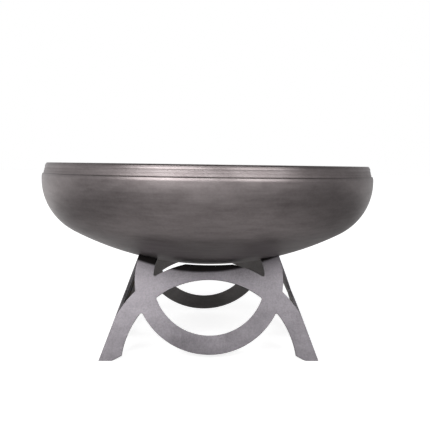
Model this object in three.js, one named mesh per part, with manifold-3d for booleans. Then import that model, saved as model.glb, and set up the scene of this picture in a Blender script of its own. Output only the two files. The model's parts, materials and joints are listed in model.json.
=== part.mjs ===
// A round steel fire pit: a pressed bowl that rests on a base of four leaning plates, and a lift-out grate.
// Millimetres, +Z up. The origin is on the ground under the middle of the bowl, and the front faces -Y.
import * as THREE from "three";
import { mergeVertices } from "three/addons/utils/BufferGeometryUtils.js";
import Module from "manifold-3d";

const wasm = await Module();
wasm.setup();

// General
const PLATE = 6.35; // quarter-inch steel, for the bowl and the base alike
const GAP = 0.3; // left between faces that touch
const CHORD = 0.2; // the most that a facet strays from its arc on a plate
const BOWL_CHORD = 0.6; // and on the bowl's profile
const TURN = 60; // facets round the bowl and the grate's ring
const QUARTERS = 4; // plates, corners and legs repeat at each quarter turn

// Bowl: a dished head with a spherical crown and a tighter knuckle, then a shoulder that draws in to
// a small ledge, and a rim band that leans inwards
const SHOULDER_RADIUS = 457;
const KNUCKLE_RADIUS = 155;
const KNUCKLE_HEIGHT = 441;
const CROWN_RADIUS = 790;
const SHOULDER_ROUND = 22;
const SHOULDER_HEIGHT = 448;
const SHOULDER_SWEEP = THREE.MathUtils.degToRad(24); // of the shoulder's round before the ledge
const BAND = { radius: 452, height: 457.8 }; // the band's foot, at the back of the ledge
const RIM_HEIGHT = 485;
const RIM_RADIUS = 446.3;
const LIP_ROUND = 1.5;
const DRAIN_RADIUS = 19;

// Base plates: each is a ring and an arch interlaced in one leaning plate, between two legs
const LEAN = THREE.MathUtils.degToRad(20);
const FOOTPRINT = 546; // side of the square of the outer faces on the ground
const RING = { centre: 205.5, outer: 190.3, inner: 143.3 };
const ARCH = { centre: -15, outer: 266, inner: 218.4 };
const CORNER_ROUND = 4; // in each window's corners
const CROWN_CLEARANCE = 5.8; // between the arch's trimmed top and the bowl
const FOOT_FLAT = 32;
const FOOT_CHAMFER_RISE = 13;

// Corner welds, inside the base
const WELD_LEG = 5;
const LEG_WELD = { from: 30, to: 118 };
const TOP_WELD = { from: 216, to: 238 };

// Grate: round bars in a ring of flat bar, on two runners and four legs
const GRATE_TOP = 340;
const GRATE_RADIUS = 305;
const FLAT_BAR_HEIGHT = 25.4;
const BAR_DIAMETER = 12.7;
const BAR_PITCH = 50;
const BAR_COUNT = 11;
const RUNNER_SPREAD = 240;
const LEG_DIAMETER = 16;

// Worked out from the sizes above
const KNUCKLE_CENTRE = new THREE.Vector2(SHOULDER_RADIUS - KNUCKLE_RADIUS, KNUCKLE_HEIGHT);
const CROWN_CENTRE = new THREE.Vector2(
  0,
  KNUCKLE_HEIGHT + Math.sqrt((CROWN_RADIUS - KNUCKLE_RADIUS) ** 2 - KNUCKLE_CENTRE.x ** 2),
);
const HALF_FOOTPRINT = FOOTPRINT / 2;

// Materials
const finishes = {
  bowlSteel: { color: 0x6b6161, roughness: 0.42, metalness: 1 },
  plateSteel: { color: 0x98939a, roughness: 0.5, metalness: 1 },
  weldSteel: { color: 0x5c5a5c, roughness: 0.55, metalness: 1 },
  grateSteel: { color: 0x4a4646, roughness: 0.65, metalness: 1 },
};

function addPart(group, name, geometry, finish) {
  const mesh = new THREE.Mesh(geometry, new THREE.MeshStandardMaterial(finish));
  mesh.name = name;
  group.add(mesh);
  return mesh;
}

// Booleans

function solidFrom(geometry) {
  const bare = new THREE.BufferGeometry();
  bare.setAttribute("position", geometry.getAttribute("position"));
  bare.setIndex(geometry.getIndex());
  const merged = mergeVertices(bare, 1e-3);
  return new wasm.Manifold(
    new wasm.Mesh({
      numProp: 3,
      vertProperties: merged.attributes.position.array,
      triVerts: new Uint32Array(merged.index.array),
    }),
  );
}

function geometryFrom(solid) {
  const mesh = solid.getMesh();
  const geometry = new THREE.BufferGeometry();
  geometry.setAttribute("position", new THREE.BufferAttribute(mesh.vertProperties, 3));
  geometry.setIndex(new THREE.BufferAttribute(mesh.triVerts, 1));
  geometry.computeVertexNormals();
  return geometry;
}

function common(first, second) {
  return geometryFrom(solidFrom(first).intersect(solidFrom(second)));
}

// Outlines

// Points along an arc, without its first point. A positive sweep turns anticlockwise.
function arcPoints(centre, radius, startAngle, sweep, chord = CHORD) {
  const step = 2 * Math.acos(1 - chord / radius);
  const count = Math.max(2, Math.ceil(Math.abs(sweep) / step));
  const points = [];
  for (let i = 1; i <= count; i++) {
    const angle = startAngle + (sweep * i) / count;
    points.push(
      new THREE.Vector2(centre.x + radius * Math.cos(angle), centre.y + radius * Math.sin(angle)),
    );
  }
  return points;
}

// Points along a circle from one point to another, the short way round, without the first.
function arcBetween(centre, from, to) {
  const start = Math.atan2(from.y - centre.y, from.x - centre.x);
  const end = Math.atan2(to.y - centre.y, to.x - centre.x);
  const sweep = THREE.MathUtils.euclideanModulo(end - start + Math.PI, 2 * Math.PI) - Math.PI;
  return arcPoints(centre, centre.distanceTo(from), start, sweep);
}

// A circle on the plate's centre line, at a height up the slope.
function circleOnAxis(height, radius) {
  return { centre: new THREE.Vector2(0, height), radius };
}

// The right-hand point where two circles on the centre line cross.
function crossing(a, b) {
  const heights = b.centre.y ** 2 - a.centre.y ** 2 + a.radius ** 2 - b.radius ** 2;
  const y = heights / (2 * (b.centre.y - a.centre.y));
  return new THREE.Vector2(Math.sqrt(a.radius ** 2 - (y - a.centre.y) ** 2), y);
}

function nearestOn(circle, point) {
  return point.clone().sub(circle.centre).setLength(circle.radius).add(circle.centre);
}

// The round in the corner between two circles. A side of 1 is outside its circle, and -1 inside.
function cornerRound(a, sideA, b, sideB) {
  const centre = crossing(
    circleOnAxis(a.centre.y, a.radius + sideA * CORNER_ROUND),
    circleOnAxis(b.centre.y, b.radius + sideB * CORNER_ROUND),
  );
  return { centre, from: nearestOn(a, centre), to: nearestOn(b, centre) };
}

function mirrored(points) {
  return points.map((p) => new THREE.Vector2(-p.x, p.y)).reverse();
}

// Bowl

// Height of the crown's surface at a distance from the bowl's axis.
function crownHeight(distance, radius) {
  return CROWN_CENTRE.y - Math.sqrt(radius ** 2 - distance ** 2);
}

// One face of the bowl's wall, from the drain to the foot of the rim band, set in from the outer face.
function wallFace(inset) {
  const crown = CROWN_RADIUS - inset;
  const knuckle = KNUCKLE_RADIUS - inset;
  const round = SHOULDER_ROUND;
  const axisDown = -Math.PI / 2;
  const drainAngle = axisDown + Math.asin(DRAIN_RADIUS / crown);
  const tangent = KNUCKLE_CENTRE.clone().sub(CROWN_CENTRE).angle() - 2 * Math.PI;
  const roundCentre = new THREE.Vector2(SHOULDER_RADIUS - round, SHOULDER_HEIGHT);
  const drain = new THREE.Vector2(DRAIN_RADIUS, crownHeight(DRAIN_RADIUS, crown));
  const shoulder = new THREE.Vector2(SHOULDER_RADIUS - inset, SHOULDER_HEIGHT);
  return [
    drain,
    ...arcPoints(CROWN_CENTRE, crown, drainAngle, tangent - drainAngle, BOWL_CHORD),
    ...arcPoints(KNUCKLE_CENTRE, knuckle, tangent, -tangent, BOWL_CHORD),
    shoulder,
    ...arcPoints(roundCentre, round - inset, 0, SHOULDER_SWEEP, BOWL_CHORD),
    new THREE.Vector2(BAND.radius - inset, BAND.height),
  ];
}

function bowlGeometry() {
  const outerLip = new THREE.Vector2(RIM_RADIUS - LIP_ROUND, RIM_HEIGHT - LIP_ROUND);
  const innerLip = new THREE.Vector2(RIM_RADIUS - PLATE + LIP_ROUND, RIM_HEIGHT - LIP_ROUND);
  const profile = [
    ...wallFace(0),
    new THREE.Vector2(RIM_RADIUS, outerLip.y),
    ...arcPoints(outerLip, LIP_ROUND, 0, Math.PI / 2),
    new THREE.Vector2(innerLip.x, RIM_HEIGHT),
    ...arcPoints(innerLip, LIP_ROUND, Math.PI / 2, Math.PI / 2),
    ...wallFace(PLATE).reverse(),
  ];
  profile.push(profile[0].clone());
  return new THREE.LatheGeometry(profile, TURN).rotateX(Math.PI / 2);
}

// Base plates, drawn on the outer face with x across and y up the slope

// The bowl's crown cut by a plate's outer face is a circle, which the plate's top edge follows.
function bowlCircle(clearance) {
  const offPlane = CROWN_CENTRE.y * Math.sin(LEAN) - HALF_FOOTPRINT * Math.cos(LEAN);
  const upSlope = CROWN_CENTRE.y * Math.cos(LEAN) + HALF_FOOTPRINT * Math.sin(LEAN);
  return circleOnAxis(upSlope, Math.sqrt(CROWN_RADIUS ** 2 - offPlane ** 2) + clearance);
}

// Where a circle leaves the plate's sloping side, a little outside the mitre that trims it.
function sideCrossing(circle, margin) {
  const halfWidth = HALF_FOOTPRINT + margin;
  const slope = Math.sin(LEAN);
  const a = 1 + slope ** 2;
  const b = -2 * (halfWidth * slope + circle.centre.y);
  const c = halfWidth ** 2 + circle.centre.y ** 2 - circle.radius ** 2;
  const y = (-b + Math.sqrt(b ** 2 - 4 * a * c)) / (2 * a);
  return new THREE.Vector2(halfWidth - slope * y, y);
}

function plateShape() {
  const ringOuter = circleOnAxis(RING.centre, RING.outer);
  const ringInner = circleOnAxis(RING.centre, RING.inner);
  const archOuter = circleOnAxis(ARCH.centre, ARCH.outer);
  const archInner = circleOnAxis(ARCH.centre, ARCH.inner);
  const bowl = bowlCircle(GAP);
  const clearOfBowl = bowlCircle(CROWN_CLEARANCE);
  const trim = 1; // left outside the mitres and under the ground, which cut it off
  const fork = cornerRound(ringOuter, 1, archInner, -1);
  const notch = cornerRound(archOuter, 1, ringOuter, 1);
  const pocket = cornerRound(ringInner, -1, archOuter, 1);
  const eye = cornerRound(ringInner, -1, archInner, -1);
  const ringFoot = new THREE.Vector2(0, RING.centre - RING.outer);
  const chamferTop = new THREE.Vector2(
    Math.sqrt(ARCH.inner ** 2 - (FOOT_CHAMFER_RISE - ARCH.centre) ** 2),
    FOOT_CHAMFER_RISE,
  );
  const footInner = new THREE.Vector2(HALF_FOOTPRINT - FOOT_FLAT, 0);
  const buried = -trim;
  const side = sideCrossing(archOuter, trim);
  const uprightOuter = crossing(ringOuter, bowl);
  const uprightInner = crossing(ringInner, bowl);
  const crownEnd = crossing(archOuter, clearOfBowl);
  const crownMiddle = new THREE.Vector2(0, clearOfBowl.centre.y - clearOfBowl.radius);
  const rightHalf = [
    ringFoot,
    ...arcBetween(ringOuter.centre, ringFoot, fork.from),
    ...arcBetween(fork.centre, fork.from, fork.to),
    ...arcBetween(archInner.centre, fork.to, chamferTop),
    footInner,
    new THREE.Vector2(footInner.x, buried),
    new THREE.Vector2(HALF_FOOTPRINT + trim - Math.sin(LEAN) * buried, buried),
    side,
    ...arcBetween(archOuter.centre, side, notch.from),
    ...arcBetween(notch.centre, notch.from, notch.to),
    ...arcBetween(ringOuter.centre, notch.to, uprightOuter),
    ...arcBetween(bowl.centre, uprightOuter, uprightInner),
    ...arcBetween(ringInner.centre, uprightInner, pocket.from),
    ...arcBetween(pocket.centre, pocket.from, pocket.to),
    ...arcBetween(archOuter.centre, pocket.to, crownEnd),
    ...arcBetween(clearOfBowl.centre, crownEnd, crownMiddle),
  ];
  const shape = new THREE.Shape([...rightHalf, ...mirrored(rightHalf).slice(1, -1)]);
  const eyeBottom = new THREE.Vector2(0, RING.centre - RING.inner);
  const eyeTop = new THREE.Vector2(0, ARCH.centre + ARCH.inner);
  const rightEye = [
    eyeBottom,
    ...arcBetween(ringInner.centre, eyeBottom, eye.from),
    ...arcBetween(eye.centre, eye.from, eye.to),
    ...arcBetween(archInner.centre, eye.to, eyeTop),
  ];
  shape.holes.push(new THREE.Path([...rightEye, ...mirrored(rightEye).slice(1, -1)]));
  return shape;
}

// The room that the front plate may fill: above the ground, and a quarter of the plan.
function quarterRoom() {
  const apex = GAP / Math.SQRT2;
  const reach = FOOTPRINT;
  const plan = new THREE.Shape([
    new THREE.Vector2(0, -apex),
    new THREE.Vector2(-reach, -apex - reach),
    new THREE.Vector2(reach, -apex - reach),
  ]);
  return new THREE.ExtrudeGeometry(plan, { depth: RIM_HEIGHT, bevelEnabled: false });
}

function plateGeometry() {
  const blank = new THREE.ExtrudeGeometry(plateShape(), { depth: PLATE, bevelEnabled: false });
  blank.translate(0, 0, -PLATE);
  blank.rotateX(Math.PI / 2 - LEAN);
  blank.translate(0, -HALF_FOOTPRINT, 0);
  return common(blank, quarterRoom());
}

// A quarter-round bead up the inside of the front right corner.
function weldGeometry({ from, to }) {
  const face = HALF_FOOTPRINT - from * Math.tan(LEAN) - PLATE / Math.cos(LEAN) - GAP;
  const corner = new THREE.Vector2(0, 0);
  const start = new THREE.Vector2(0, WELD_LEG);
  const section = new THREE.Shape([corner, start, ...arcPoints(corner, WELD_LEG, Math.PI / 2, Math.PI / 2)]);
  const bead = new THREE.ExtrudeGeometry(section, { depth: to - from, bevelEnabled: false });
  const lean = Math.tan(LEAN);
  bead.applyMatrix4(new THREE.Matrix4().set(1, 0, -lean, 0, 0, 1, lean, 0, 0, 0, 1, 0, 0, 0, 0, 1));
  return bead.translate(face, -face, from);
}

function buildBase(group) {
  const plate = plateGeometry();
  const legWeld = weldGeometry(LEG_WELD);
  const topWeld = weldGeometry(TOP_WELD);
  const sides = ["front", "right", "back", "left"];
  const corners = ["front_right", "back_right", "back_left", "front_left"];
  for (let i = 0; i < QUARTERS; i++) {
    const quarter = new THREE.Group();
    quarter.rotation.z = (i * Math.PI) / 2;
    addPart(quarter, `base_plate_${sides[i]}`, plate, finishes.plateSteel);
    addPart(quarter, `leg_weld_${corners[i]}`, legWeld, finishes.weldSteel);
    addPart(quarter, `top_weld_${corners[i]}`, topWeld, finishes.weldSteel);
    group.add(quarter);
  }
}

// Grate

function grateRingGeometry() {
  const inner = GRATE_RADIUS - PLATE;
  const bottom = GRATE_TOP - FLAT_BAR_HEIGHT;
  const section = [
    new THREE.Vector2(inner, bottom),
    new THREE.Vector2(GRATE_RADIUS, bottom),
    new THREE.Vector2(GRATE_RADIUS, GRATE_TOP),
    new THREE.Vector2(inner, GRATE_TOP),
    new THREE.Vector2(inner, bottom),
  ];
  return new THREE.LatheGeometry(section, TURN).rotateX(Math.PI / 2);
}

// The room inside the ring, which trims the ends of the bars and runners.
function insideRing() {
  const radius = GRATE_RADIUS - PLATE - GAP;
  const room = new THREE.CylinderGeometry(radius, radius, RIM_HEIGHT, TURN).rotateX(Math.PI / 2);
  return room.translate(0, 0, RIM_HEIGHT / 2);
}

function buildGrate(group) {
  const room = insideRing();
  addPart(group, "grate_ring", grateRingGeometry(), finishes.grateSteel);
  const barRadius = BAR_DIAMETER / 2;
  for (let i = 0; i < BAR_COUNT; i++) {
    const offset = (i - (BAR_COUNT - 1) / 2) * BAR_PITCH;
    const bar = new THREE.CylinderGeometry(barRadius, barRadius, 2 * GRATE_RADIUS, 12);
    bar.rotateZ(Math.PI / 2).translate(0, offset, GRATE_TOP - barRadius);
    addPart(group, `grate_bar_${i + 1}`, common(bar, room), finishes.grateSteel);
  }
  const underBars = GRATE_TOP - BAR_DIAMETER - GAP;
  for (const [side, sign] of [["left", -1], ["right", 1]]) {
    const runner = new THREE.BoxGeometry(PLATE, 2 * GRATE_RADIUS, FLAT_BAR_HEIGHT);
    runner.translate((sign * RUNNER_SPREAD) / 2, 0, underBars - FLAT_BAR_HEIGHT / 2);
    addPart(group, `grate_runner_${side}`, common(runner, room), finishes.grateSteel);
  }
  buildLegs(group, underBars);
}

// The legs stand on the bowl's inner face, against the inside of the ring.
function buildLegs(group, top) {
  const facetApothem = (GRATE_RADIUS - PLATE) * Math.cos(Math.PI / TURN);
  const out = facetApothem - GAP - LEG_DIAMETER / 2;
  const bottom = crownHeight(out + LEG_DIAMETER / 2, CROWN_RADIUS - PLATE) + BOWL_CHORD + GAP;
  const corners = ["back_right", "back_left", "front_left", "front_right"];
  for (let i = 0; i < QUARTERS; i++) {
    const angle = ((i + 0.5) * Math.PI) / 2;
    const leg = new THREE.CylinderGeometry(LEG_DIAMETER / 2, LEG_DIAMETER / 2, top - bottom, 16);
    leg.rotateX(Math.PI / 2);
    leg.translate(out * Math.cos(angle), out * Math.sin(angle), (top + bottom) / 2);
    addPart(group, `grate_leg_${corners[i]}`, leg, finishes.grateSteel);
  }
}

const firePit = new THREE.Group();
buildBase(firePit);
addPart(firePit, "fire_bowl", bowlGeometry(), finishes.bowlSteel);
buildGrate(firePit);

export default firePit;
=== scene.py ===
"""A round steel fire pit: the looks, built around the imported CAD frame. Metres, +Z up, front towards -Y."""
import json
import math
import random

import bmesh
import bpy
from mathutils import Matrix, Vector, noise


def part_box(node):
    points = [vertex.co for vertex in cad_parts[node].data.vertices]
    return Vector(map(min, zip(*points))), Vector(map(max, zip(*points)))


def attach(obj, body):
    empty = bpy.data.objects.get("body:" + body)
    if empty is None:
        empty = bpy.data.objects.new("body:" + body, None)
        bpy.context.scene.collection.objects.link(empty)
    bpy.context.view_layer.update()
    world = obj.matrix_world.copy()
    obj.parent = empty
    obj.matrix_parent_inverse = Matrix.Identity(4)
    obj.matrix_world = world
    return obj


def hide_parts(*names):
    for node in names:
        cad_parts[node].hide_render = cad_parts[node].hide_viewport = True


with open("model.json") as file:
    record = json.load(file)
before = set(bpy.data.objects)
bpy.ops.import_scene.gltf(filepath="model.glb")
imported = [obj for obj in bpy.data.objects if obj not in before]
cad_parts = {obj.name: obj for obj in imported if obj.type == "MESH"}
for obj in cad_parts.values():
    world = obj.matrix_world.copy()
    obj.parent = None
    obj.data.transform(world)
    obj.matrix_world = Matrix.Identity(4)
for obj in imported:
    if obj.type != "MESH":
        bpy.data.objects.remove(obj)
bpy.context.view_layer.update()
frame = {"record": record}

# Driving sizes, in metres, as in the CAD part
PLATE = 0.00635
GAP = 0.0003
SHOULDER_RADIUS = 0.457
KNUCKLE_RADIUS = 0.155
KNUCKLE_HEIGHT = 0.441
CROWN_RADIUS = 0.790
SHOULDER_ROUND = 0.022
SHOULDER_HEIGHT = 0.448
SHOULDER_SWEEP = math.radians(24)
BAND_RADIUS = 0.452
BAND_HEIGHT = 0.4578
RIM_RADIUS = 0.4463
DRAIN_RADIUS = 0.019
LEAN = math.radians(20)
HALF_FOOTPRINT = 0.273
RING_CENTRE = 0.2055
RING_OUTER = 0.1903
RING_INNER = 0.1433
ARCH_CENTRE = -0.015
ARCH_OUTER = 0.266
ARCH_INNER = 0.2184
CORNER_ROUND = 0.004
CROWN_CLEARANCE = 0.0058
FOOT_FLAT = 0.032
FOOT_CHAMFER_RISE = 0.013

# Finish sizes that the CAD part leaves out
ARRIS = 0.0004
BASE_BEAD = 0.0058
LEG_BEAD_PITCH = 0.0034
TOP_BEAD_PITCH = 0.0032
GRATE_BEAD = 0.0032
GRATE_BEAD_PITCH = 0.0024

# Painted shadow of the bowl: plate steel above this ball is painted near black, on the tops of the base
# plates
BOWL_SHADOW_CENTRE = (-0.018, 0, 0.6265)
BOWL_SHADOW_RADIUS = 0.4600

# Facets round the turned pieces
BOWL_STEPS = 288
RING_STEPS = 240

# Darkest and lightest shade of the plates' outer and inner faces; the inner faces are a lightened copy of the
# outer steel, painted light that lifts the shade inside the base
OUTER_SHADES = ((0.098, 0.091, 0.098), (0.178, 0.166, 0.179))
INNER_LIGHTENED_SHADES = ((0.220, 0.207, 0.203), (0.340, 0.322, 0.316))

RIM_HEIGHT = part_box("fire_bowl")[1].z
KNUCKLE_X = SHOULDER_RADIUS - KNUCKLE_RADIUS
CROWN_HEIGHT = KNUCKLE_HEIGHT + math.sqrt((CROWN_RADIUS - KNUCKLE_RADIUS) ** 2 - KNUCKLE_X**2)

SIDES = ("front", "right", "back", "left")
CORNERS = ("front_right", "back_right", "back_left", "front_left")
QUARTER = math.pi / 2


# ---------------------------------------------------------------- mesh helpers

def face_outward(bm):
    """Turns every face outward, and a closed mesh that came out inside out the right way."""
    bmesh.ops.recalc_face_normals(bm, faces=bm.faces)
    closed = not any(edge.is_boundary for edge in bm.edges)
    if closed and bm.calc_volume(signed=True) < 0:
        bmesh.ops.reverse_faces(bm, faces=bm.faces)


def new_object(name, bm, material, smooth_angle=math.radians(35), weighted=False):
    """An object from a bmesh, smooth except where its faces meet at more than smooth_angle."""
    face_outward(bm)
    mesh = bpy.data.meshes.new(name)
    bm.to_mesh(mesh)
    bm.free()
    for polygon in mesh.polygons:
        polygon.use_smooth = True
    mesh.set_sharp_from_angle(angle=smooth_angle)
    mesh.materials.append(material)
    obj = bpy.data.objects.new(name, mesh)
    bpy.context.scene.collection.objects.link(obj)
    if weighted:
        normals = obj.modifiers.new("normals", "WEIGHTED_NORMAL")
        normals.weight = 100
        normals.keep_sharp = True
    return obj


def stand_for(obj, body, slot, *nodes):
    """Puts a piece on its body, in place of the CAD nodes named. The slot is not used."""
    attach(obj, body)
    if nodes:
        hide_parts(*nodes)
    return obj


def bridge(bm, first, second):
    """Quads between two rings of vertices."""
    for i in range(len(first)):
        j = (i + 1) % len(first)
        bm.faces.new((first[i], first[j], second[j], second[i]))


def tube(bm, rows):
    """Joins rings of vertices into a tube and closes both ends."""
    for first, second in zip(rows, rows[1:]):
        bridge(bm, first, second)
    bm.faces.new(rows[0])
    bm.faces.new(rows[-1])


def arc(centre, radius, start, sweep, count):
    """Points along an arc in a plane, without its first point."""
    found = []
    for i in range(1, count + 1):
        angle = start + sweep * i / count
        found.append((centre[0] + radius * math.cos(angle), centre[1] + radius * math.sin(angle)))
    return found


def rounded_section(left, right, bottom, top, edge, count):
    """The outline of a rectangle with rounded corners, from its lower left."""
    centres = (
        (left + edge, bottom + edge),
        (right - edge, bottom + edge),
        (right - edge, top - edge),
        (left + edge, top - edge),
    )
    points = []
    for centre, quarter in zip(centres, (2, 3, 0, 1)):
        start = quarter * QUARTER
        points.append((centre[0] + edge * math.cos(start), centre[1] + edge * math.sin(start)))
        points += arc(centre, edge, start, QUARTER, count)
    return points


def lathe(profile, steps):
    """A closed profile of (radius, height) turned about Z."""
    bm = bmesh.new()
    rows = []
    for i in range(steps):
        turn = 2 * math.pi * i / steps
        c, s = math.cos(turn), math.sin(turn)
        rows.append([bm.verts.new((r * c, r * s, z)) for r, z in profile])
    for i in range(steps):
        bridge(bm, rows[i], rows[(i + 1) % steps])
    return bm


# ---------------------------------------------------------------- material helpers

def node(tree, kind, inputs=None, **settings):
    """A shader node. Inputs are constants or the sockets that feed them."""
    made = tree.nodes.new(kind)
    for key, value in settings.items():
        setattr(made, key, value)
    for key, value in (inputs or {}).items():
        if isinstance(value, bpy.types.NodeSocket):
            tree.links.new(value, made.inputs[key])
        else:
            made.inputs[key].default_value = value
    return made


def maths(tree, operation, a, b=0.0, c=0.5):
    """A maths node's output. Only MULTIPLY_ADD uses c."""
    return node(tree, "ShaderNodeMath", {0: a, 1: b, 2: c}, operation=operation).outputs[0]


def ramp(tree, factor, stops):
    """A colour ramp from (position, grey or colour) stops."""
    made = node(tree, "ShaderNodeValToRGB", {"Fac": factor})
    elements = made.color_ramp.elements
    while len(elements) < len(stops):
        elements.new(0.5)
    for element, (position, value) in zip(elements, stops):
        element.position = position
        shade = (value,) * 3 if isinstance(value, float) else value
        element.color = (*shade, 1.0)
    return made.outputs["Color"]


def mix(tree, factor, a, b, blend="MIX"):
    made = node(tree, "ShaderNodeMix", data_type="RGBA", blend_type=blend)
    for index, value in ((0, factor), (6, a), (7, b)):
        if isinstance(value, bpy.types.NodeSocket):
            tree.links.new(value, made.inputs[index])
        else:
            made.inputs[index].default_value = value if index == 0 else (*value, 1.0)
    return made.outputs[2]


def noise_at(tree, vector, scale, detail=4.0, roughness=0.55):
    inputs = {"Vector": vector, "Scale": scale, "Detail": detail, "Roughness": roughness}
    return node(tree, "ShaderNodeTexNoise", inputs).outputs["Fac"]


def stretched(tree, vector, scale):
    return node(tree, "ShaderNodeMapping", {"Vector": vector, "Scale": scale}).outputs["Vector"]


def new_steel(name):
    material = bpy.data.materials.new(name)
    material.use_nodes = True
    tree = material.node_tree
    shader = tree.nodes["Principled BSDF"]
    shader.inputs["Metallic"].default_value = 1.0
    place = node(tree, "ShaderNodeTexCoord").outputs["Object"]
    return material, tree, shader, place


def finish_steel(tree, shader, colour, roughness, height, bump_distance):
    tree.links.new(colour, shader.inputs["Base Color"])
    tree.links.new(roughness, shader.inputs["Roughness"])
    bump = node(tree, "ShaderNodeBump", {"Height": height, "Distance": bump_distance, "Strength": 1.0})
    tree.links.new(bump.outputs["Normal"], shader.inputs["Normal"])


# ---------------------------------------------------------------- materials

def bowl_steel():
    """Pressed brown-grey steel, streaked round the axis and softly mottled, duller on the lower rim band."""
    material, tree, shader, place = new_steel("bowl_steel")
    split = node(tree, "ShaderNodeSeparateXYZ", {"Vector": place})
    x, y, z = split.outputs
    flat = node(tree, "ShaderNodeCombineXYZ", {"X": x, "Y": y})
    radius = node(tree, "ShaderNodeVectorMath", {0: flat.outputs[0]}, operation="LENGTH").outputs["Value"]
    along = maths(tree, "ADD", radius, z)
    wrapped = node(tree, "ShaderNodeCombineXYZ", {"X": x, "Y": y, "Z": along}).outputs[0]
    streaks = noise_at(tree, stretched(tree, wrapped, (2.0, 2.0, 170.0)), 1.0, 4.0)
    hairlines = noise_at(tree, stretched(tree, wrapped, (5.0, 5.0, 900.0)), 1.0, 3.0)
    patches = noise_at(tree, stretched(tree, wrapped, (2.2, 2.2, 9.0)), 1.0, 4.0, 0.6)
    mottles = noise_at(tree, stretched(tree, wrapped, (17.0, 17.0, 50.0)), 1.0, 4.0, 0.6)
    speckle = noise_at(tree, place, 160.0, 3.0, 0.6)
    blotches = ramp(tree, mix(tree, 0.5, patches, mottles), ((0.34, 0.0), (0.66, 1.0)))
    shade = mix(tree, 0.3, blotches, streaks)
    colour = ramp(tree, shade, ((0.2, (0.172, 0.148, 0.148)), (0.8, (0.262, 0.232, 0.231))))
    colour = mix(tree, 0.06, colour, ramp(tree, speckle, ((0.35, 0.08), (0.65, 0.36))))
    roughness = ramp(tree, mix(tree, 0.5, patches, streaks), ((0.25, 0.34), (0.75, 0.47)))
    up_band = maths(tree, "MULTIPLY_ADD", z, 30.0, -13.7)
    band_dullness = ramp(tree, up_band, ((0.016, 0.0), (0.064, 0.07), (0.50, 0.07), (0.54, 0.0)))
    roughness = mix(tree, 1.0, roughness, band_dullness, "ADD")
    height = mix(tree, 0.35, streaks, hairlines)
    finish_steel(tree, shader, colour, roughness, height, 0.00004)
    return material


def paint_bowl_shadow(tree, place, colour):
    """Paints the bowl's shadow near black on the tops of the base plates, just under the bowl, fading out
    downwards.
    """
    offset = node(tree, "ShaderNodeVectorMath", {0: place, 1: BOWL_SHADOW_CENTRE}, operation="DISTANCE")
    waver = maths(tree, "MULTIPLY_ADD", noise_at(tree, place, 40.0, 3.0), 0.0024, -0.0012)
    depth = maths(tree, "ADD", maths(tree, "SUBTRACT", offset.outputs["Value"], BOWL_SHADOW_RADIUS), waver)
    bare = ramp(tree, maths(tree, "MULTIPLY_ADD", depth, 120.0, 0.5), ((0.32, 0.0), (0.98, 1.0)))
    # Painted shadow: near black where the bowl shades the plate top, the plate's own colour below
    return mix(tree, bare, (0.008, 0.007, 0.007), colour)


def plate_steel(name, shades):
    """Plate with rolling lines, stains and a few scratches, between two shades, darker towards the feet with
    painted shade and some dirt, and a painted shadow of the bowl along the tops.
    """
    material, tree, shader, place = new_steel(name)
    grain = noise_at(tree, stretched(tree, place, (150.0, 150.0, 5.0)), 1.0, 3.0)
    stains = noise_at(tree, place, 9.0, 4.0, 0.6)
    smears = noise_at(tree, stretched(tree, place, (22.0, 22.0, 50.0)), 1.0, 4.0, 0.6)
    scratch_field = noise_at(tree, stretched(tree, place, (10.0, 10.0, 120.0)), 1.0, 1.0)
    scratches = ramp(tree, scratch_field, ((0.488, 0.0), (0.5, 1.0), (0.512, 0.0)))
    blotches = ramp(tree, mix(tree, 0.45, stains, smears), ((0.32, 0.0), (0.68, 1.0)))
    speckle = ramp(tree, noise_at(tree, place, 240.0, 2.0), ((0.35, 0.0), (0.65, 1.0)))
    shade = mix(tree, 0.25, mix(tree, 0.4, blotches, grain), speckle)
    colour = ramp(tree, shade, ((0.1, shades[0]), (0.9, shades[1])))
    scraped = mix(tree, 1.0, colour, (1.35, 1.35, 1.35), "MULTIPLY")
    colour = mix(tree, maths(tree, "MULTIPLY", scratches, 0.4), colour, scraped)
    # Darker towards the feet, blotched by the stains: partly painted shade where less light reaches low down,
    # partly dirt
    height_up = node(tree, "ShaderNodeSeparateXYZ", {"Vector": place}).outputs["Z"]
    foot_shade_and_dirt = ramp(tree, maths(tree, "MULTIPLY_ADD", height_up, 4.0, stains), ((0.35, 0.58), (1.0, 1.0)))
    # Painted shadow of the bowl, near black along the plate tops
    colour = paint_bowl_shadow(tree, place, mix(tree, 1.0, colour, foot_shade_and_dirt, "MULTIPLY"))
    roughness = ramp(tree, mix(tree, 0.5, stains, grain), ((0.2, 0.36), (0.8, 0.48)))
    height = mix(tree, 0.3, grain, scratches)
    finish_steel(tree, shader, colour, roughness, height, 0.00004)
    return material


def cut_edge_steel():
    """Laser-cut edge: darker, with fine lines straight through the plate."""
    material, tree, shader, place = new_steel("cut_edge_steel")
    lines = noise_at(tree, stretched(tree, place, (900.0, 60.0, 900.0)), 1.0, 2.0)
    tint = noise_at(tree, place, 30.0, 3.0)
    stops = ((0.2, (0.060, 0.057, 0.062)), (0.8, (0.130, 0.122, 0.128)))
    colour = ramp(tree, mix(tree, 0.6, tint, lines), stops)
    roughness = ramp(tree, lines, ((0.3, 0.42), (0.7, 0.6)))
    finish_steel(tree, shader, colour, roughness, lines, 0.00012)
    return material


def weld_steel():
    """Bare weld metal with straw and blue heat tint."""
    material, tree, shader, place = new_steel("weld_steel")
    tint = noise_at(tree, place, 45.0, 3.0)
    fine = noise_at(tree, place, 600.0, 3.0)
    bare, straw, blue, pale = (0.13, 0.12, 0.12), (0.17, 0.14, 0.11), (0.11, 0.12, 0.16), (0.16, 0.16, 0.165)
    colour = ramp(tree, tint, ((0.3, bare), (0.5, straw), (0.62, blue), (0.8, pale)))
    roughness = ramp(tree, fine, ((0.3, 0.32), (0.7, 0.52)))
    finish_steel(tree, shader, colour, roughness, fine, 0.00008)
    return material


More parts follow.
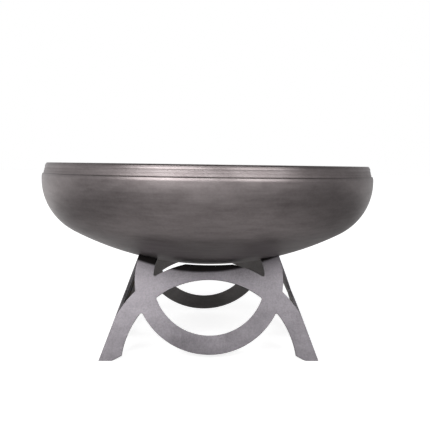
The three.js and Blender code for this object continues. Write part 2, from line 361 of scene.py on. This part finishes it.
def grate_steel():
    """Hot-rolled bar: blue-black mill scale, rubbed bright in places."""
    material, tree, shader, place = new_steel("grate_steel")
    scale = noise_at(tree, place, 26.0, 6.0, 0.65)
    pits = noise_at(tree, place, 380.0, 4.0, 0.6)
    grain = noise_at(tree, stretched(tree, place, (12.0, 300.0, 300.0)), 1.0, 3.0)
    dark, middle, rubbed = (0.040, 0.040, 0.046), (0.070, 0.068, 0.072), (0.150, 0.140, 0.136)
    stops = ((0.30, dark), (0.52, middle), (0.75, rubbed))
    colour = ramp(tree, mix(tree, 0.4, scale, grain), stops)
    roughness = ramp(tree, mix(tree, 0.5, scale, pits), ((0.25, 0.62), (0.75, 0.40)))
    finish_steel(tree, shader, colour, roughness, mix(tree, 0.5, pits, grain), 0.00015)
    return material


# ---------------------------------------------------------------- bowl

def crown_height(distance, radius):
    return CROWN_HEIGHT - math.sqrt(radius**2 - distance**2)


def wall_face(inset):
    """One face of the wall, from the drain to the end of the shoulder."""
    crown = CROWN_RADIUS - inset
    knuckle = KNUCKLE_RADIUS - inset
    drain_angle = math.asin(DRAIN_RADIUS / crown) - QUARTER
    tangent = math.atan2(KNUCKLE_HEIGHT - CROWN_HEIGHT, KNUCKLE_X)
    points = [(DRAIN_RADIUS, crown_height(DRAIN_RADIUS, crown))]
    points += arc((0, CROWN_HEIGHT), crown, drain_angle, tangent - drain_angle, 34)
    points += arc((KNUCKLE_X, KNUCKLE_HEIGHT), knuckle, tangent, -tangent, 26)
    points.append((SHOULDER_RADIUS - inset, SHOULDER_HEIGHT))
    round_centre = (SHOULDER_RADIUS - SHOULDER_ROUND, SHOULDER_HEIGHT)
    points += arc(round_centre, SHOULDER_ROUND - inset, 0, SHOULDER_SWEEP, 8)
    return points


def rim_face():
    """The outside of the rim band: three shallow rolls with fine creases between them, under a sloped lip."""
    lip_radius = 0.0062
    lip_start, lip_sweep = math.radians(28), math.radians(57)
    lip_rise = lip_radius * (math.sin(lip_start + lip_sweep) - math.sin(lip_start))
    neck = 0.0004
    fullness = 0.7
    foot = (BAND_RADIUS, BAND_HEIGHT)
    top = (RIM_RADIUS, RIM_HEIGHT - lip_rise)
    rolls = ((0.02, 0.28, 0.00035), (0.33, 0.56, 0.00035), (0.62, 0.98, 0.0007))
    steps = 8
    points = []
    for start, end, swell in rolls:
        for i in range(steps + 1):
            share = start + (end - start) * i / steps
            bulge = swell * math.sin(math.pi * i / steps) ** fullness
            radius = foot[0] + (top[0] - foot[0]) * share + bulge - neck
            points.append((radius, foot[1] + (top[1] - foot[1]) * share))
    lip_centre = (
        top[0] - neck - lip_radius * math.cos(lip_start),
        RIM_HEIGHT - lip_radius * math.sin(lip_start + lip_sweep),
    )
    points.append((top[0] - neck, top[1]))
    points += arc(lip_centre, lip_radius, lip_start, lip_sweep, 8)
    return points


def bowl_profile():
    inner_lip = 0.0008
    inner_wall = RIM_RADIUS - PLATE
    inner_rim = [(inner_wall + inner_lip, RIM_HEIGHT)]
    inner_rim += arc((inner_wall + inner_lip, RIM_HEIGHT - inner_lip), inner_lip, QUARTER, QUARTER, 5)
    inner_rim.append((BAND_RADIUS - PLATE, BAND_HEIGHT))
    return wall_face(0) + rim_face() + inner_rim + wall_face(PLATE)[::-1]


def build_bowl(material):
    bm = lathe(bowl_profile(), BOWL_STEPS)
    bowl = new_object("bowl_shell", bm, material, math.radians(50))
    return stand_for(bowl, "bowl", "bowl_steel", "fire_bowl")


# ---------------------------------------------------------------- base plates

def crossing(a, b):
    """Where two circles (height, radius) on the plate's centre line cross, on the right."""
    height = (b[0] ** 2 - a[0] ** 2 + a[1] ** 2 - b[1] ** 2) / (2 * (b[0] - a[0]))
    return math.sqrt(a[1] ** 2 - (height - a[0]) ** 2), height


def nearest_on(circle, point):
    across, up = point[0], point[1] - circle[0]
    share = circle[1] / math.hypot(across, up)
    return across * share, circle[0] + up * share


def corner_round(a, side_a, b, side_b):
    """The round in the corner between two circles. A side of 1 is outside its circle, and -1 inside."""
    centre = crossing((a[0], a[1] + side_a * CORNER_ROUND), (b[0], b[1] + side_b * CORNER_ROUND))
    return centre, nearest_on(a, centre), nearest_on(b, centre)


def arc_between(centre, start, end, step=0.0035):
    """Points along a circle from one point to another, the short way round, without the first."""
    radius = math.dist(centre, start)
    first = math.atan2(start[1] - centre[1], start[0] - centre[0])
    last = math.atan2(end[1] - centre[1], end[0] - centre[0])
    sweep = (last - first + math.pi) % (2 * math.pi) - math.pi
    count = max(4, round(abs(sweep) * radius / step))
    return arc(centre, radius, first, sweep, count)


def mirrored(points):
    return [(-x, y) for x, y in reversed(points)]


def bowl_circle(clearance):
    """The bowl's crown cut by a plate's outer face, which the plate's top edge follows."""
    off_plane = CROWN_HEIGHT * math.sin(LEAN) - HALF_FOOTPRINT * math.cos(LEAN)
    up_slope = CROWN_HEIGHT * math.cos(LEAN) + HALF_FOOTPRINT * math.sin(LEAN)
    return up_slope, math.sqrt(CROWN_RADIUS**2 - off_plane**2) + clearance


def side_crossing(circle, margin):
    half_width, slope = HALF_FOOTPRINT + margin, math.sin(LEAN)
    a = 1 + slope**2
    b = -2 * (half_width * slope + circle[0])
    c = half_width**2 + circle[0] ** 2 - circle[1] ** 2
    height = (-b + math.sqrt(b**2 - 4 * a * c)) / (2 * a)
    return half_width - slope * height, height


def plate_outline():
    ring_outer, ring_inner = (RING_CENTRE, RING_OUTER), (RING_CENTRE, RING_INNER)
    arch_outer, arch_inner = (ARCH_CENTRE, ARCH_OUTER), (ARCH_CENTRE, ARCH_INNER)
    ring, arch = (0, RING_CENTRE), (0, ARCH_CENTRE)
    touching, clear = bowl_circle(GAP), bowl_circle(CROWN_CLEARANCE)
    trim = 0.001
    fork, fork_in, fork_out = corner_round(ring_outer, 1, arch_inner, -1)
    notch, notch_in, notch_out = corner_round(arch_outer, 1, ring_outer, 1)
    pocket, pocket_in, pocket_out = corner_round(ring_inner, -1, arch_outer, 1)
    ring_foot = (0, RING_CENTRE - RING_OUTER)
    chamfer_x = math.sqrt(ARCH_INNER**2 - (FOOT_CHAMFER_RISE - ARCH_CENTRE) ** 2)
    foot_inner = HALF_FOOTPRINT - FOOT_FLAT
    side = side_crossing(arch_outer, trim)
    upright_outer = crossing(ring_outer, touching)
    upright_inner = crossing(ring_inner, touching)
    crown_end = crossing(arch_outer, clear)
    right = [ring_foot]
    right += arc_between(ring, ring_foot, fork_in)
    right += arc_between(fork, fork_in, fork_out)
    right += arc_between(arch, fork_out, (chamfer_x, FOOT_CHAMFER_RISE))
    right += [(foot_inner, 0), (foot_inner, -trim)]
    right += [(HALF_FOOTPRINT + trim * (1 + math.sin(LEAN)), -trim), side]
    right += arc_between(arch, side, notch_in)
    right += arc_between(notch, notch_in, notch_out)
    right += arc_between(ring, notch_out, upright_outer)
    right += arc_between((0, touching[0]), upright_outer, upright_inner)
    right += arc_between(ring, upright_inner, pocket_in)
    right += arc_between(pocket, pocket_in, pocket_out)
    right += arc_between(arch, pocket_out, crown_end)
    right += arc_between((0, clear[0]), crown_end, (0, clear[0] - clear[1]))
    return right + mirrored(right)[1:-1]


def eye_outline():
    eye, eye_in, eye_out = corner_round((RING_CENTRE, RING_INNER), -1, (ARCH_CENTRE, ARCH_INNER), -1)
    bottom, top = (0, RING_CENTRE - RING_INNER), (0, ARCH_CENTRE + ARCH_INNER)
    right = [bottom]
    right += arc_between((0, RING_CENTRE), bottom, eye_in)
    right += arc_between(eye, eye_in, eye_out)
    right += arc_between((0, ARCH_CENTRE), eye_out, top)
    return right + mirrored(right)[1:-1]


def trim_plate(bm):
    """Cuts the mitres and the feet, and closes each cut."""
    offset = GAP / 2
    planes = (
        (Vector((0, -offset * math.sqrt(2), 0)), Vector((1, 1, 0)).normalized()),
        (Vector((0, -offset * math.sqrt(2), 0)), Vector((-1, 1, 0)).normalized()),
        (Vector((0, 0, 0)), Vector((0, 0, -1))),
    )
    for point, outward in planes:
        geometry = bm.verts[:] + bm.edges[:] + bm.faces[:]
        bmesh.ops.bisect_plane(bm, geom=geometry, plane_co=point, plane_no=outward, clear_outer=True)
        bmesh.ops.remove_doubles(bm, verts=bm.verts, dist=1e-6)
        open_edges = [e for e in bm.edges if e.is_boundary]
        bmesh.ops.holes_fill(bm, edges=open_edges, sides=0)


def thicken(bm, loops):
    """Gives a flat face a back, and a wall round each of its outlines."""
    back = {v: bm.verts.new(v.co + Vector((0, 0, -PLATE))) for v in bm.verts[:]}
    for face in bm.faces[:]:
        bm.faces.new([back[v] for v in reversed(face.verts)])
    for loop in loops:
        bridge(bm, loop, [back[v] for v in loop])


def plate_mesh():
    """The front base plate, in place."""
    bm = bmesh.new()
    loops = []
    for outline in (plate_outline(), eye_outline()):
        loop = [bm.verts.new((x, y, 0)) for x, y in outline]
        for i, vertex in enumerate(loop):
            bm.edges.new((vertex, loop[(i + 1) % len(loop)]))
        loops.append(loop)
    bmesh.ops.triangle_fill(bm, edges=bm.edges[:], use_beauty=True)
    thicken(bm, loops)
    bm.transform(Matrix.Translation((0, -HALF_FOOTPRINT, 0)) @ Matrix.Rotation(QUARTER - LEAN, 4, "X"))
    bmesh.ops.recalc_face_normals(bm, faces=bm.faces)
    trim_plate(bm)
    bmesh.ops.dissolve_limit(bm, angle_limit=math.radians(0.5), verts=bm.verts, edges=bm.edges)
    bmesh.ops.recalc_face_normals(bm, faces=bm.faces)
    sharp = [e for e in bm.edges if len(e.link_faces) == 2 and e.calc_face_angle() > math.radians(30)]
    bmesh.ops.bevel(
        bm, geom=sharp, offset=ARRIS, offset_type="OFFSET", segments=2, profile=0.5, affect="EDGES"
    )
    return bm


def build_plates(face_material, edge_material, inner_material):
    outward = Vector((0, -math.cos(LEAN), math.sin(LEAN)))
    for i, side in enumerate(SIDES):
        bm = plate_mesh()
        bm.normal_update()
        for face in bm.faces:
            facing = face.normal.dot(outward)
            face.material_index = 0 if facing > 0.8 else 2 if facing < -0.8 else 1
        bm.transform(Matrix.Rotation(i * QUARTER, 4, "Z"))
        plate = new_object(f"plate_{side}", bm, face_material, math.radians(80), weighted=True)
        plate.data.materials.append(edge_material)
        plate.data.materials.append(inner_material)
        stand_for(plate, "base", "plate_steel", f"base_plate_{side}")


# ---------------------------------------------------------------- welds

def bead(bm, path, length, size, pitch, rng):
    """A rippled weld bead. At a share of its length, path gives the corner and both legs' directions."""
    rows = []
    steps = max(12, round(length / (pitch / 9)))
    around = 12
    unevenness = 0.05
    drift = [rng.uniform(-unevenness, unevenness) for _ in range(int(length / pitch) + 3)]
    for i in range(steps + 1):
        t = length * i / steps
        corner, side_a, side_b = path(i / steps)
        from_end = max(0.0, min(t, length - t))
        taper = min(1.0, math.sqrt(from_end / (size * 0.9)) + 0.05)
        row = [bm.verts.new(corner)]
        for k in range(around + 1):
            share = k / around
            lag = (2 * share - 1) ** 2 * pitch * 0.55
            phase = (t + lag) / pitch
            ripple = 1 - (phase - math.floor(phase)) ** 1.6
            swell = 0.94 + 0.13 * ripple * math.sin(math.pi * share)
            reach = size * taper * (1 + drift[int(phase)]) * swell
            offset = side_a * math.cos(share * QUARTER) + side_b * math.sin(share * QUARTER)
            row.append(bm.verts.new(corner + offset * reach))
        rows.append(row)
    tube(bm, rows)


def straight_bead(bm, start, end, side_a, side_b, size, pitch, rng):
    def path(share):
        return start.lerp(end, share), side_a, side_b
    bead(bm, path, (end - start).length, size, pitch, rng)


def corner_bead(low, high, size, pitch, rng):
    """A bead up the inside of the front right corner of the base, between two heights."""
    def corner(height):
        face = HALF_FOOTPRINT - height * math.tan(LEAN) - PLATE / math.cos(LEAN) - GAP
        return Vector((face, -face, height))
    leftward, backward = Vector((-1, 0, 0)), Vector((0, 1, 0))
    bm = bmesh.new()
    straight_bead(bm, corner(low), corner(high), leftward, backward, size, pitch, rng)
    return bm


def build_base_welds(material):
    for i, corner in enumerate(CORNERS):
        for kind, pitch in (("leg_weld", LEG_BEAD_PITCH), ("top_weld", TOP_BEAD_PITCH)):
            node_name = f"{kind}_{corner}"
            low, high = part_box(node_name)
            bm = corner_bead(low.z, high.z, BASE_BEAD, pitch, random.Random(node_name))
            bm.transform(Matrix.Rotation(i * QUARTER, 4, "Z"))
            weld = new_object(f"{kind}_bead_{corner}", bm, material, math.radians(60))
            stand_for(weld, "base", "weld_steel", node_name)


# ---------------------------------------------------------------- grate

def build_grate_ring(material):
    """The flat bar round the grate. Returns its inner radius."""
    low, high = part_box("grate_ring")
    inner = high.x - PLATE
    profile = rounded_section(inner, high.x, low.z, high.z, 0.0009, 4)
    ring = new_object("grate_band", lathe(profile, RING_STEPS), material)
    stand_for(ring, "grate", "grate_steel", "grate_ring")
    return inner


def reach_of_ring(inner, offset):
    """How far a line at an offset from the middle runs before it meets the inside of the ring."""
    return math.sqrt((inner - GAP) ** 2 - offset**2)


def round_bar(low, high, inner, seed):
    """A round bar along X whose ends follow the inside of the ring."""
    radius = (high.z - low.z) / 2
    y, z = (low.y + high.y) / 2, (low.z + high.z) / 2
    around, steps = 28, 64
    rows = []
    bm = bmesh.new()
    for i in range(steps + 1):
        share = 2 * i / steps - 1
        row = []
        for k in range(around):
            angle = 2 * math.pi * k / around
            across = y + radius * math.cos(angle)
            x = share * reach_of_ring(inner, across)
            dent = 0.00018 * (noise.noise(Vector((x * 30, seed, angle))) + 1)
            worn = radius - dent
            row.append(bm.verts.new((x, y + worn * math.cos(angle), z + worn * math.sin(angle))))
        rows.append(row)
    tube(bm, rows)
    return bm


def flat_bar(low, high, inner):
    """A flat bar on edge along Y whose ends follow the inside of the ring, with softened arrises."""
    section = rounded_section(low.x, high.x, low.z, high.z, 0.0008, 3)
    steps = 40
    rows = []
    bm = bmesh.new()
    for i in range(steps + 1):
        share = 2 * i / steps - 1
        rows.append([bm.verts.new((x, share * reach_of_ring(inner, x), z)) for x, z in section])
    tube(bm, rows)
    return bm


def leg_bar(low, high):
    """An upright round bar with chamfered ends."""
    radius = (high.x - low.x) / 2
    centre = (low + high) / 2
    chamfer = 0.0012
    tip = radius - chamfer
    levels = ((low.z, tip), (low.z + chamfer, radius), (high.z - chamfer, radius), (high.z, tip))
    around = 40
    rows = []
    bm = bmesh.new()
    for z, r in levels:
        row = []
        for k in range(around):
            angle = 2 * math.pi * k / around
            row.append(bm.verts.new((centre.x + r * math.cos(angle), centre.y + r * math.sin(angle), z)))
        rows.append(row)
    tube(bm, rows)
    return bm


def bar_end_bead(bm, low, high, inner, end, rng):
    """A bead round the underside of a round bar where it meets the ring."""
    radius = (high.z - low.z) / 2
    y, z = (low.y + high.y) / 2, (low.z + high.z) / 2
    first, sweep = math.radians(35), math.radians(-250)

    def on_ring(angle, out):
        across = y + out * math.cos(angle)
        return Vector((end * (reach_of_ring(inner, across) + GAP), across, z + out * math.sin(angle)))

    def path(share):
        angle = first + sweep * share
        corner = on_ring(angle, radius)
        off_bar = on_ring(angle, radius + GRATE_BEAD) - corner
        return corner, Vector((-end, 0, 0)), off_bar.normalized()

    bead(bm, path, radius * abs(sweep), GRATE_BEAD, GRATE_BEAD_PITCH, rng)


def upright_beads(bm, centre, half_width, low, high, rng):
    """Beads up both sides of a runner or leg where it meets the ring."""
    outward = Vector((centre.x, centre.y, 0)).normalized()
    across = Vector((-outward.y, outward.x, 0))
    rise = Vector((0, 0, high - low))
    for side in (-1, 1):
        foot = Vector((centre.x, centre.y, low)) + across * side * half_width
        straight_bead(bm, foot, foot + rise, across * side, -outward, GRATE_BEAD, GRATE_BEAD_PITCH, rng)


def build_grate_welds(material, inner, nodes):
    """The beads that hold the bars, runners and legs to the ring, as one piece."""
    ring_low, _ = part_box("grate_ring")
    rng = random.Random("grate_welds")
    bm = bmesh.new()
    for name in nodes:
        low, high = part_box(name)
        centre = (low + high) / 2
        if name.startswith("grate_bar"):
            for end in (-1, 1):
                bar_end_bead(bm, low, high, inner, end, rng)
        elif name.startswith("grate_runner"):
            for end in (-1, 1):
                place = Vector((centre.x, end * reach_of_ring(inner, centre.x), 0))
                upright_beads(bm, place, PLATE / 2, ring_low.z, high.z, rng)
        else:
            place = Vector((centre.x, centre.y, 0)).normalized() * inner
            upright_beads(bm, place, PLATE / 2, ring_low.z, high.z, rng)
    beads = new_object("grating_weld_beads", bm, material, math.radians(60))
    stand_for(beads, "grate", "weld_steel")


def build_grate(bar_material, weld_material):
    inner = build_grate_ring(bar_material)
    nodes = [n for n in frame["record"]["behaviour"]["bodies"]["grate"] if n != "grate_ring"]
    for index, name in enumerate(nodes):
        low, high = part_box(name)
        if name.startswith("grate_bar"):
            bm = round_bar(low, high, inner, index * 3.7)
        elif name.startswith("grate_runner"):
            bm = flat_bar(low, high, inner)
        else:
            bm = leg_bar(low, high)
        piece = new_object(name.replace("grate_", "grating_"), bm, bar_material)
        stand_for(piece, "grate", "grate_steel", name)
    build_grate_welds(weld_material, inner, nodes)


# ---------------------------------------------------------------- stage, light and camera

def build_stage():
    """A white floor. Reflections see it darker in front and beside, and lit up behind the object."""
    half, below = 30.0, -0.0004
    bm = bmesh.new()
    corners = ((-half, -half), (half, -half), (half, half), (-half, half))
    bm.faces.new([bm.verts.new((x, y, below)) for x, y in corners])
    material = bpy.data.materials.new("studio_floor")
    material.use_nodes = True
    tree = material.node_tree
    shader = tree.nodes["Principled BSDF"]
    seen = node(tree, "ShaderNodeLightPath").outputs["Is Camera Ray"]
    place = node(tree, "ShaderNodeTexCoord").outputs["Object"]
    x, y, _ = node(tree, "ShaderNodeSeparateXYZ", {"Vector": place}).outputs
    distance = node(tree, "ShaderNodeVectorMath", {0: place}, operation="LENGTH").outputs["Value"]
    away = maths(tree, "DIVIDE", distance, 4.0)
    bounce = ramp(tree, away, ((0.12, 0.62), (0.35, 0.48)))
    beside = ramp(tree, maths(tree, "ABSOLUTE", x), ((0.35, 1.0), (0.75, 0.62)))
    behind_left = maths(tree, "MULTIPLY_ADD", y, 0.85, maths(tree, "MULTIPLY", x, -0.5))
    lit = ramp(tree, maths(tree, "MULTIPLY_ADD", behind_left, 0.33), ((0.6, 0.5), (0.8, 1.0)))
    bounce = mix(tree, 1.0, mix(tree, 1.0, bounce, beside, "MULTIPLY"), lit, "MULTIPLY")
    bounce = mix(tree, 1.0, bounce, (2.0, 2.0, 2.0), "MULTIPLY")
    tree.links.new(mix(tree, seen, bounce, (0.55, 0.55, 0.55)), shader.inputs["Base Color"])
    glow = ramp(tree, away, ((0.15, 0.80), (0.6, 1.0)))
    tree.links.new(glow, shader.inputs["Emission Color"])
    behind = ramp(tree, maths(tree, "MULTIPLY", y, 0.5), ((0.15, 0.0), (0.6, 1.0)))
    leftward = ramp(tree, maths(tree, "MULTIPLY_ADD", x, 0.5), ((0.3, 0.9), (0.8, 0.52)))
    backdrop = maths(tree, "MAXIMUM", seen, maths(tree, "MULTIPLY", behind, leftward))
    tree.links.new(backdrop, shader.inputs["Emission Strength"])
    shader.inputs["Roughness"].default_value = 0.8
    shader.inputs["Specular IOR Level"].default_value = 0.2
    new_object("studio_floor", bm, material)


def area_light(name, place, aim, width, height, power):
    data = bpy.data.lights.new(name, "AREA")
    data.shape = "RECTANGLE"
    data.size, data.size_y = width, height
    data.energy = power
    light = bpy.data.objects.new(name, data)
    bpy.context.scene.collection.objects.link(light)
    light.location = place
    light.rotation_euler = (Vector(aim) - Vector(place)).to_track_quat("-Z", "Y").to_euler()
    light.visible_camera = False


def softbox(name, azimuth, elevation, distance, width, height, radiance):
    """A soft area light seen from the bowl at an azimuth from the front and an elevation, in degrees."""
    across, up = math.radians(azimuth), math.radians(elevation)
    aim = Vector((0, 0, 0.35))
    away = Vector((math.sin(across) * math.cos(up), -math.cos(across) * math.cos(up), math.sin(up)))
    area_light(name, aim + away * distance, aim, width, height, radiance * math.pi * width * height)


def build_light():
    """A pale room, brighter low down and to the left, and two soft lights in front."""
    world = bpy.data.worlds.new("studio")
    bpy.context.scene.world = world
    world.use_nodes = True
    tree = world.node_tree
    background = tree.nodes["Background"]
    seen = node(tree, "ShaderNodeLightPath").outputs["Is Camera Ray"]
    direction = node(tree, "ShaderNodeTexCoord").outputs["Generated"]
    x, y, z = node(tree, "ShaderNodeSeparateXYZ", {"Vector": direction}).outputs
    height = ramp(tree, z, ((0.0, 1.0), (0.35, 0.6), (0.8, 0.22)))
    depth = ramp(tree, maths(tree, "MULTIPLY_ADD", y, 0.5), ((0.05, 0.85), (0.45, 0.5), (0.9, 0.7)))
    across = ramp(tree, maths(tree, "MULTIPLY_ADD", x, 0.5), ((0.1, 1.0), (0.45, 0.94), (0.8, 0.66)))
    room = mix(tree, 1.0, mix(tree, 1.0, height, depth, "MULTIPLY"), across, "MULTIPLY")
    bright = mix(tree, 1.0, room, (1.62, 1.62, 1.64), "MULTIPLY")
    tree.links.new(mix(tree, seen, bright, (1.0, 1.0, 1.0)), background.inputs["Color"])
    softbox("key_left", azimuth=-27, elevation=26, distance=4.0, width=2.8, height=1.8, radiance=7.6)
    softbox("key_right", azimuth=29, elevation=26, distance=4.0, width=2.0, height=1.8, radiance=5.5)
    bpy.context.scene.view_settings.view_transform = "Standard"


def build_camera():
    """A viewpoint level with the rim, about two degrees left of square to the front plate."""
    focal_px, image_px, sensor = 654.06, 430.0, 36.0
    distance, side, height = 1.86010, 0.01216, 0.48694
    pitch, roll, turn, object_turn = (math.radians(a) for a in (4.464, 0.802, -0.290, 2.341))
    level = Matrix.Rotation(pitch, 3, "X") @ Matrix.Rotation(-turn, 3, "Z")
    right, forward, up = Matrix.Rotation(roll, 3, "Y") @ level
    around = Matrix.Rotation(-object_turn, 3, "Z")
    data = bpy.data.cameras.new("camera")
    data.sensor_width = sensor
    data.lens = sensor * focal_px / image_px
    camera = bpy.data.objects.new("camera", data)
    bpy.context.scene.collection.objects.link(camera)
    axes = Matrix((around @ right, around @ up, around @ -forward)).transposed()
    camera.matrix_world = Matrix.Translation(around @ Vector((side, -distance, height))) @ axes.to_4x4()
    bpy.context.scene.camera = camera


build_camera()
build_stage()
build_light()
build_bowl(bowl_steel())
outer_steel = plate_steel("plate_steel", OUTER_SHADES)
# A lightened copy of the plate steel for the inner faces: painted light against the shade inside the base
inner_steel = plate_steel("plate_steel_inner_lightened", INNER_LIGHTENED_SHADES)
build_plates(outer_steel, cut_edge_steel(), inner_steel)
weld = weld_steel()
build_base_welds(weld)
build_grate(grate_steel(), weld)
